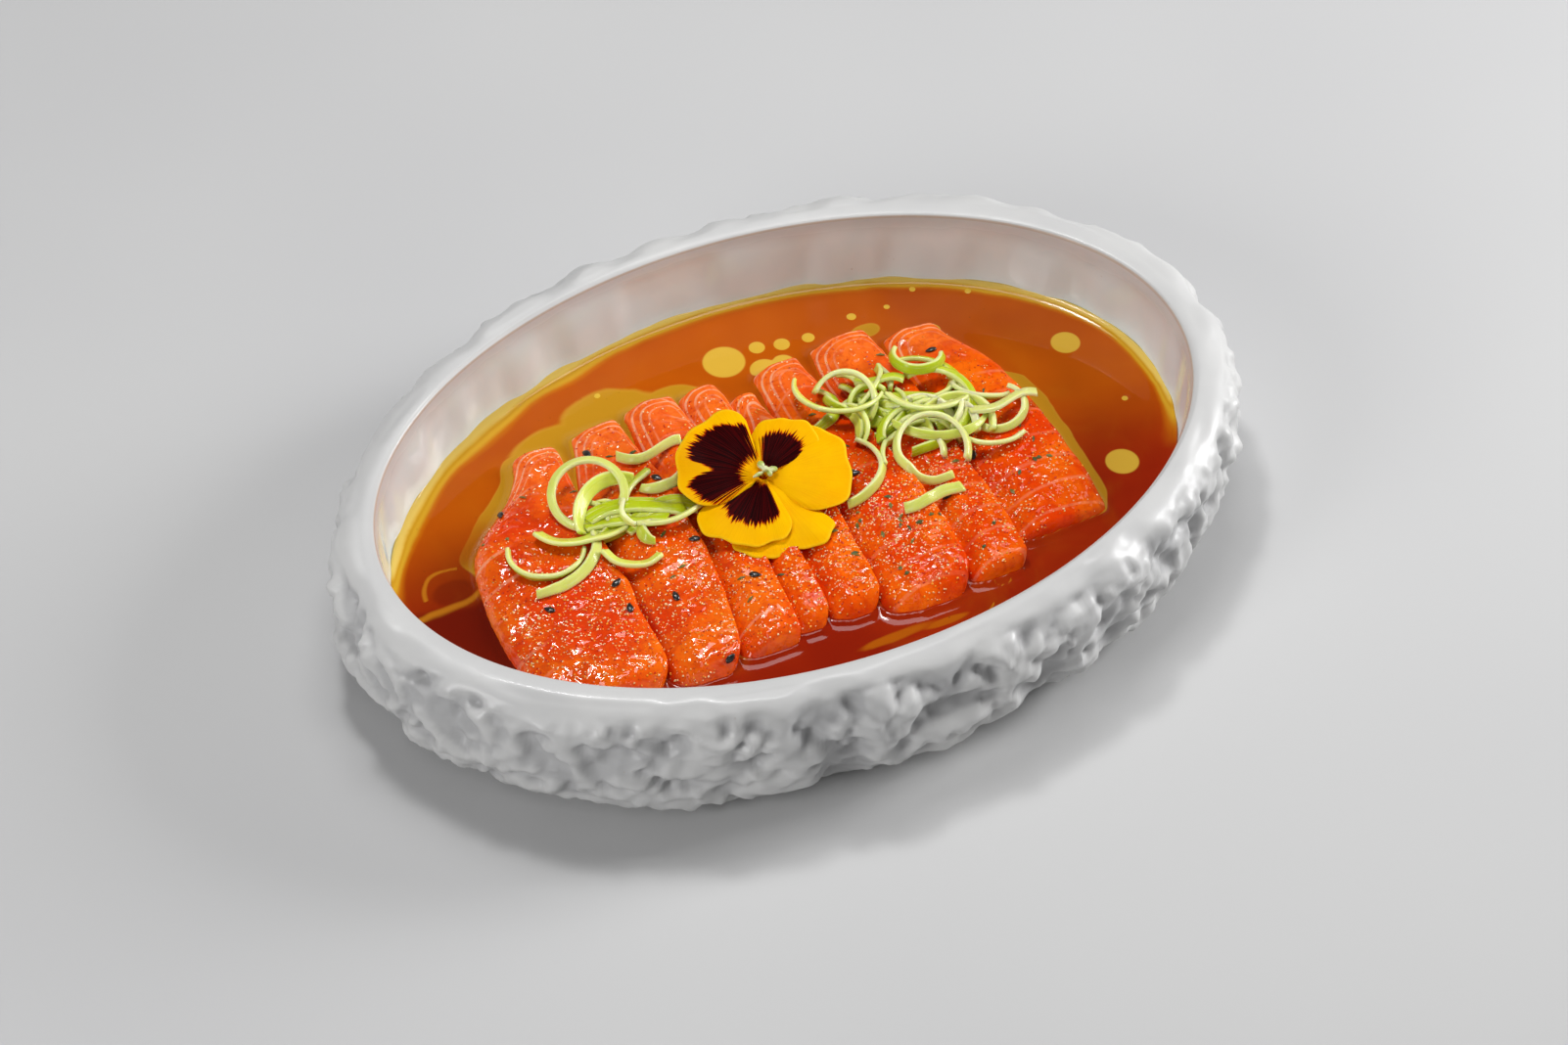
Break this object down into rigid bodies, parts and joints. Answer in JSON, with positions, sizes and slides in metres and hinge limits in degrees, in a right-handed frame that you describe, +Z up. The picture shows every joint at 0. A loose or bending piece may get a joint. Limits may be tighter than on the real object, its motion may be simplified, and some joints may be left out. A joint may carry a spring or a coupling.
{
  "type": "salmon sashimi in an oval dish",
  "caption": "Deep oval white dish with a rock-textured outside, holding overlapping salmon slices in amber dressing with shredded spring onion and a viola flower.",
  "frame": {"origin": "on the table surface under the middle of the dish", "axes": "+X along the dish and across the row of slices, +Y towards the slices' tips, +Z up"},
  "size_m": [0.2667, 0.1908, 0.0435],
  "materials": {
    "white_glaze": "glossy warm white glaze over a lumpy cast outside",
    "amber_dressing": "clear glossy oily soy dressing, amber where thin and red-brown where deep, with pale yellow oil patches",
    "salmon": "wet orange-red raw fish with pale fat lines",
    "petal": "soft yellow petals with dark burgundy blotches",
    "spring_onion": "thin moist yellow-green and pale rings and shreds",
    "black_sesame": "satin black seeds",
    "spice": "dry ground spice, salt and herb flecks"
  },
  "bodies": {
    "root": {"dish": "white_glaze", "sauce": "amber_dressing", "salmon_slice_1": "salmon", "salmon_slice_2": "salmon", "salmon_slice_3": "salmon", "salmon_slice_4": "salmon", "salmon_slice_5": "salmon", "salmon_slice_6": "salmon", "salmon_slice_7": "salmon", "salmon_slice_8": "salmon", "viola_flower": "petal", "scallion_heap_left": "spring_onion", "scallion_heap_right": "spring_onion"}
  },
  "joints": []
}
